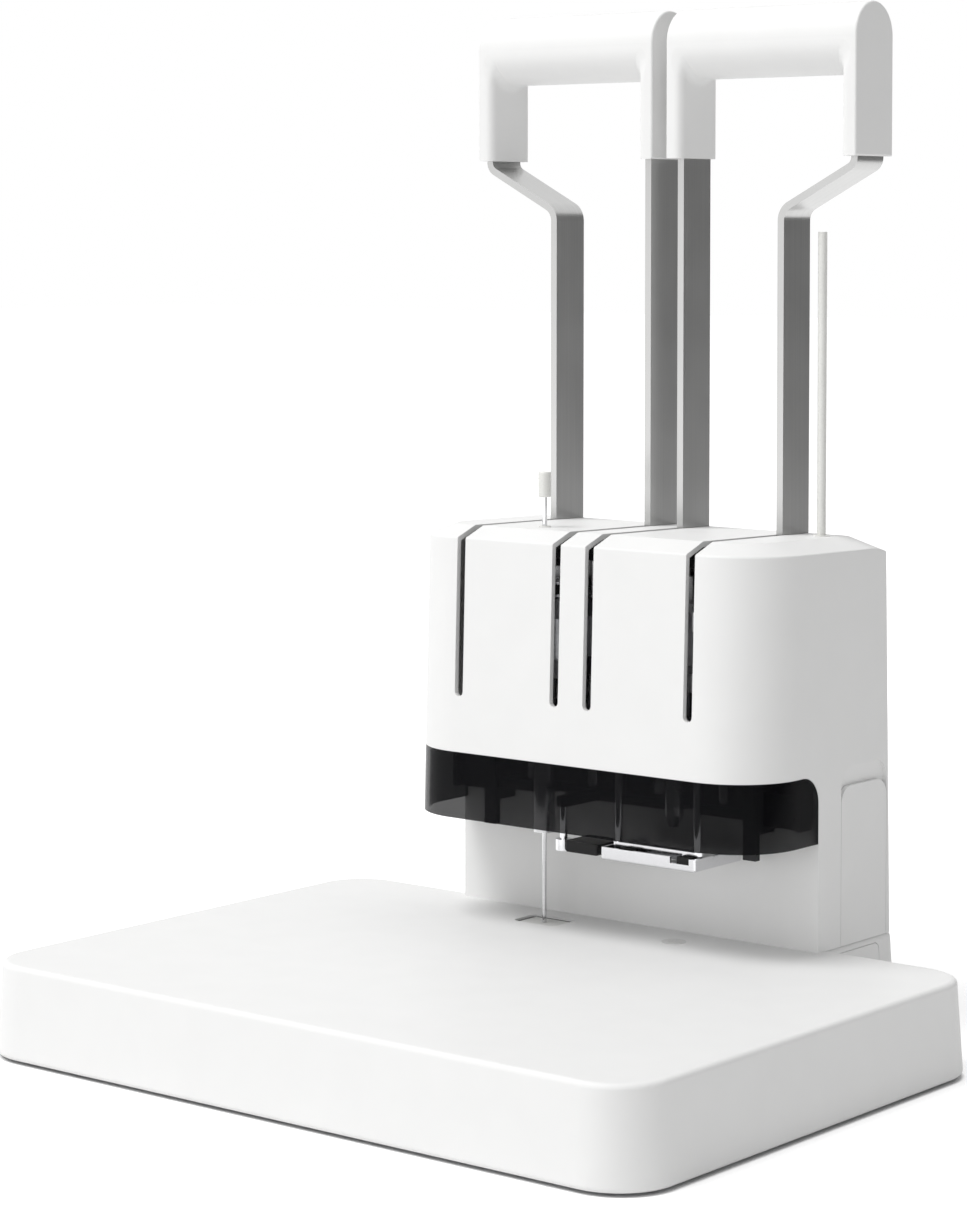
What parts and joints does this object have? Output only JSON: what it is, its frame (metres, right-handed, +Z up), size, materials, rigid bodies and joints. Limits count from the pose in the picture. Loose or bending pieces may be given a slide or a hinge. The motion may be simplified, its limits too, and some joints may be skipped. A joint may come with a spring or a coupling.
{
  "type": "document riveting machine",
  "caption": "Desktop machine that drills stacked paper with one lever and rivets it with a nylon tube under the other, on a wide flat base.",
  "frame": {"origin": "centre of the footprint, on the table", "axes": "+X to the operator's right along the base's width, +Y from the operator to the column, +Z up"},
  "size_m": [0.4246, 0.3669, 0.5467],
  "materials": {
    "white_plastic": "fine-textured moulded plastic, off white",
    "black_plastic": "black plastic, satin",
    "supply_case": "folded sheet, plain",
    "plated_sheet": "zinc-plated steel sheet, passivated",
    "arm_steel": "nickel-plated flat bar, brushed along its length",
    "machined_steel": "turned or milled steel",
    "black_frame": "blackened steel plate",
    "chrome": "polished chromium plate",
    "smoked_visor": "smoked clear plastic, polished",
    "clear_white": "natural nylon, milky",
    "rubber": "soft rubber, matt",
    "brass": "plain brass",
    "aluminium": "milled aluminium, satin",
    "screw_steel": "zinc-plated screws",
    "spring_steel": "oiled spring wire"
  },
  "bodies": {
    "stand": {"base_cover": "white_plastic", "base_plate": "plated_sheet", "rubber_feet": "rubber", "anvil_bridge": "machined_steel", "cutting_pad": "clear_white", "lower_die": "machined_steel", "drawer_runners": "black_plastic", "power_inlet": "black_plastic", "inlet_pins": "brass", "switch_bezel": "black_plastic", "power_supply": "supply_case", "body_shell": "white_plastic", "side_covers": "white_plastic", "rear_cover": "white_plastic", "case_screws": "screw_steel", "visor": "smoked_visor", "visor_brackets": "black_frame", "frame_right": "black_frame", "frame_left": "black_frame", "frame_centre": "black_frame", "lower_bridge": "black_frame", "top_bridge": "black_frame", "guide_rods": "machined_steel", "cross_shafts": "machined_steel", "return_springs": "spring_steel", "lamp_housing": "black_plastic", "lamp_post": "chrome", "lamp_arm": "black_frame", "needle_guide": "clear_white", "tube_well": "clear_white"},
    "drill_lever": {"drill_sector": "machined_steel", "drill_inner_arm": "arm_steel", "drill_outer_arm": "arm_steel", "drill_grip": "white_plastic"},
    "rivet_lever": {"rivet_sector": "machined_steel", "rivet_inner_arm": "arm_steel", "rivet_outer_arm": "arm_steel", "rivet_grip": "white_plastic"},
    "drill_slide": {"drill_carriage": "aluminium", "drill_rack": "machined_steel", "spindle_bearings": "machined_steel", "drill_motor": "plated_sheet", "drive_belt": "rubber"},
    "drill_shaft": {"drill_spindle": "machined_steel", "hollow_drill": "machined_steel"},
    "motor_shaft": {"motor_pulley": "aluminium"},
    "drill_sleeve": {"drill_presser": "machined_steel"},
    "rivet_slide": {"rivet_carriage": "aluminium", "rivet_rack": "machined_steel", "die_heater": "aluminium", "upper_die": "machined_steel"},
    "rivet_presser": {"presser_tray": "chrome", "presser_frame": "chrome", "presser_bumpers": "rubber"},
    "clearing_needle": {"needle_rod": "chrome", "needle_knob": "clear_white"},
    "tube_stock": {"rivet_tube": "clear_white"},
    "chip_drawer": {"waste_drawer": "white_plastic"},
    "mains_rocker": {"power_rocker": "black_plastic"}
  },
  "joints": [
    {"name": "drill_lever_swing", "type": "hinge", "parent": "stand", "child": "drill_lever", "pos_m": [0, 0.144, 0.173], "axis": [1, 0, 0], "range_deg": [0, 80], "stiffness_Nm_per_rad": 2, "springref_deg": -22.92},
    {"name": "rivet_lever_swing", "type": "hinge", "parent": "stand", "child": "rivet_lever", "pos_m": [0, 0.144, 0.173], "axis": [1, 0, 0], "range_deg": [0, 80], "stiffness_Nm_per_rad": 2, "springref_deg": -22.92},
    {"name": "drill_feed", "type": "slide", "parent": "stand", "child": "drill_slide", "axis": [0, 0, -1], "range_m": [0, 0.0611]},
    {"name": "sleeve_feed", "type": "slide", "parent": "stand", "child": "drill_sleeve", "axis": [0, 0, -1], "range_m": [0, 0.0487]},
    {"name": "spindle_spin", "type": "hinge", "parent": "drill_slide", "child": "drill_shaft", "pos_m": [-0.04355, 0.0817, 0.205], "axis": [0, 0, 1], "continuous": true},
    {"name": "motor_spin", "type": "hinge", "parent": "drill_slide", "child": "motor_shaft", "pos_m": [-0.02825, 0.0738, 0.225], "axis": [0, 0, 1], "continuous": true},
    {"name": "rivet_feed", "type": "slide", "parent": "stand", "child": "rivet_slide", "axis": [0, 0, -1], "range_m": [0, 0.0611]},
    {"name": "presser_feed", "type": "slide", "parent": "stand", "child": "rivet_presser", "axis": [0, 0, -1], "range_m": [0, 0.0437]},
    {"name": "needle_lift", "type": "slide", "parent": "stand", "child": "clearing_needle", "axis": [0, 0, 1], "range_m": [0, 0.225]},
    {"name": "tube_lift", "type": "slide", "parent": "stand", "child": "tube_stock", "axis": [0, 0, 1], "range_m": [0, 0.015]},
    {"name": "drawer_pull", "type": "slide", "parent": "stand", "child": "chip_drawer", "axis": [1, 0, 0], "range_m": [0, 0.085]},
    {"name": "rocker_tilt", "type": "hinge", "parent": "stand", "child": "mains_rocker", "pos_m": [-0.038, 0.17926, 0.0255], "axis": [1, 0, 0], "range_deg": [0, 20]}
  ],
  "couplings": [
    {"joint": "drill_feed", "follows": "drill_lever_swing", "m_per_rad": 0.043688},
    {"joint": "sleeve_feed", "follows": "drill_lever_swing", "m_per_rad": 0.034807},
    {"joint": "rivet_feed", "follows": "rivet_lever_swing", "m_per_rad": 0.043688},
    {"joint": "presser_feed", "follows": "rivet_lever_swing", "m_per_rad": 0.031226},
    {"joint": "motor_spin", "follows": "spindle_spin", "ratio": 1.6}
  ]
}
